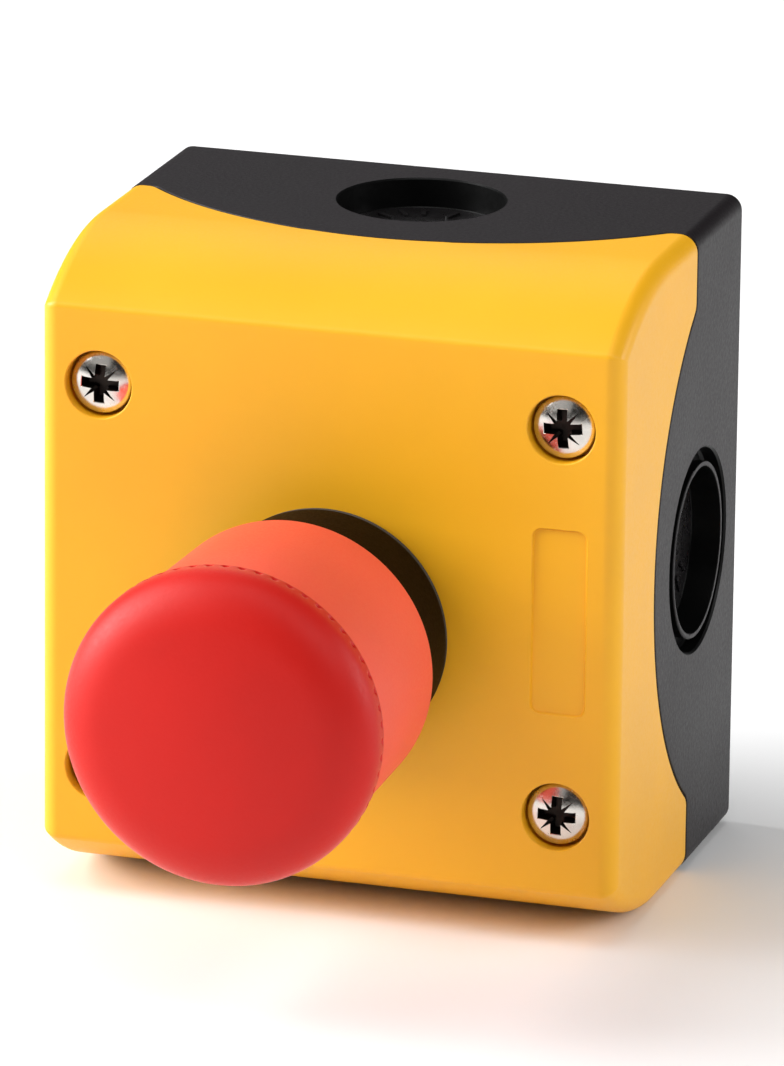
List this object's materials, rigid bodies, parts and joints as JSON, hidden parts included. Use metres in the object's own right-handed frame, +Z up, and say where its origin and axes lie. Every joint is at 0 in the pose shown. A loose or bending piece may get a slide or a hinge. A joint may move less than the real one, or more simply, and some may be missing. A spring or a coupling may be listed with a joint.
{
  "type": "emergency stop button",
  "caption": "Surface-mounting emergency stop station: yellow lid on a black base, with a red push-pull mushroom head over enclosed contact blocks.",
  "frame": {"origin": "middle of the enclosure's flat back face, where it lies on the wall", "axes": "+X to the right seen from the front, +Y into the wall, +Z up; the button's axis runs along Y"},
  "size_m": [0.072, 0.0975, 0.08],
  "materials": {
    "base_plastic": "black moulded polycarbonate blend, fine matte texture",
    "lid_plastic": "signal yellow moulded plastic, satin",
    "gasket_rubber": "black sealing rubber",
    "screw_steel": "bright zinc-plated steel, slightly domed",
    "operator_black": "black glass-filled polyamide",
    "spring_steel": "drawn spring steel",
    "cap_red": "signal red satin plastic, fine texture",
    "skirt_red": "orange red satin plastic",
    "stem_white": "natural acetal",
    "contact_grey": "dark grey thermoset",
    "contact_copper": "copper alloy strip with silver tips",
    "plated_steel": "nickel-plated steel",
    "plunger_red": "red acetal"
  },
  "bodies": {
    "station": {"enclosure_base": "base_plastic", "lid": "lid_plastic", "lid_gasket": "gasket_rubber", "lid_screws": "screw_steel", "lid_screw_seals": "gasket_rubber", "panel_seal": "gasket_rubber", "front_collar": "operator_black", "operator_body": "operator_black", "ring_nut": "operator_black", "stem_seal": "gasket_rubber", "head_spring": "spring_steel", "latch_ring": "plated_steel", "latch_spring_left": "spring_steel", "latch_spring_right": "spring_steel", "contact_rail": "contact_grey", "contact_rail_screws": "plated_steel", "contact_housing_left": "contact_grey", "contact_housing_right": "contact_grey", "contact_cover_left": "contact_grey", "contact_cover_right": "contact_grey", "fixed_contacts_left": "contact_copper", "fixed_contacts_right": "contact_copper", "terminal_clamps": "plated_steel", "terminal_screws": "plated_steel", "contact_spring_left": "spring_steel", "contact_spring_right": "spring_steel"},
    "head": {"mushroom_cap": "cap_red", "mushroom_skirt": "skirt_red", "head_hub": "stem_white", "hub_nut": "plated_steel", "plunger_stem": "stem_white", "push_bar": "contact_grey", "push_bar_screw": "plated_steel"},
    "latch_left": {"latch_pin_left": "plated_steel"},
    "latch_right": {"latch_pin_right": "plated_steel"},
    "contact_left": {"contact_plunger_left": "plunger_red", "contact_bridge_left": "contact_copper"},
    "contact_right": {"contact_plunger_right": "plunger_red", "contact_bridge_right": "contact_copper"}
  },
  "joints": [
    {"name": "head_push", "type": "slide", "parent": "station", "child": "head", "axis": [0, 1, 0], "range_m": [0, 0.0045], "deforming": ["head_spring"]},
    {"name": "latch_left_slide", "type": "slide", "parent": "station", "child": "latch_left", "axis": [-1, 0, 0], "range_m": [0, 0.001], "deforming": ["latch_spring_left"]},
    {"name": "latch_right_slide", "type": "slide", "parent": "station", "child": "latch_right", "axis": [1, 0, 0], "range_m": [0, 0.001], "deforming": ["latch_spring_right"]},
    {"name": "contact_left_push", "type": "slide", "parent": "station", "child": "contact_left", "axis": [0, 1, 0], "range_m": [0, 0.0045], "deforming": ["contact_spring_left"]},
    {"name": "contact_right_push", "type": "slide", "parent": "station", "child": "contact_right", "axis": [0, 1, 0], "range_m": [0, 0.0045], "deforming": ["contact_spring_right"]}
  ],
  "couplings": [
    {"joint": "latch_left_slide", "follows": "head_push", "ratio": 0.2},
    {"joint": "latch_right_slide", "follows": "head_push", "ratio": 0.2},
    {"joint": "contact_left_push", "follows": "head_push", "ratio": 1},
    {"joint": "contact_right_push", "follows": "head_push", "ratio": 1}
  ]
}
